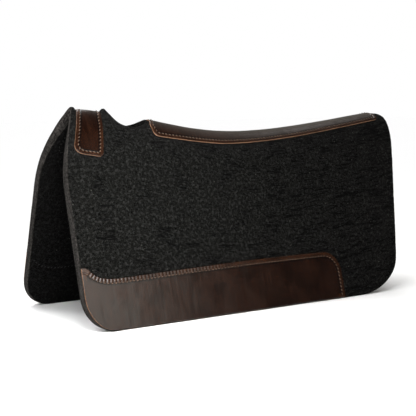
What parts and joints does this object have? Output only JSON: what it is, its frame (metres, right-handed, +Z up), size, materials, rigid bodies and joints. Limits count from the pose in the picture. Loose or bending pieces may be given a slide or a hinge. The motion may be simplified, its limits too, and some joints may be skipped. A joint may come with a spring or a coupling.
{
  "type": "western saddle pad",
  "caption": "Contoured felt saddle pad with leather strap, spine strip and wear patches, a withers relief hole and side flaps that bend.",
  "frame": {"origin": "on the ground under the middle of the pad's bounding box, with the pad standing on its two bottom edges", "axes": "+X along the spine towards the horse's rump, +Y to the horse's right side, +Z up"},
  "size_m": [0.7845, 0.3018, 0.3858],
  "materials": {
    "felt": "thick pressed wool felt, charcoal with lighter fibres",
    "leather": "smooth oiled brown leather with a soft sheen and raw tan edges",
    "tan_thread": "thick waxed tan thread in long lockstitches",
    "dark_thread": "dark bobbin and seam thread, matt"
  },
  "bodies": {
    "crown": {"left_felt_crown": "felt", "right_felt_crown": "felt", "withers_strap": "leather", "spine_strip": "leather", "withers_strap_thread": "tan_thread", "withers_strap_bobbin_thread": "dark_thread", "spine_strip_thread": "tan_thread", "spine_strip_bobbin_thread": "dark_thread", "front_seam_thread": "dark_thread", "rear_seam_thread": "dark_thread"},
    "left_flap": {"left_felt_flap": "felt", "left_wear_leather": "leather", "left_wear_leather_thread": "tan_thread", "left_wear_leather_bobbin_thread": "dark_thread"},
    "right_flap": {"right_felt_flap": "felt", "right_wear_leather": "leather", "right_wear_leather_thread": "tan_thread", "right_wear_leather_bobbin_thread": "dark_thread"}
  },
  "joints": [
    {"name": "left_flap_bend", "type": "hinge", "parent": "crown", "child": "left_flap", "pos_m": [0, -0.06315, 0.278], "axis": [-1, 0.0053, 0], "range_deg": [-15, 50]},
    {"name": "right_flap_bend", "type": "hinge", "parent": "crown", "child": "right_flap", "pos_m": [0, 0.06315, 0.278], "axis": [1, 0.0053, 0], "range_deg": [-15, 50]}
  ]
}
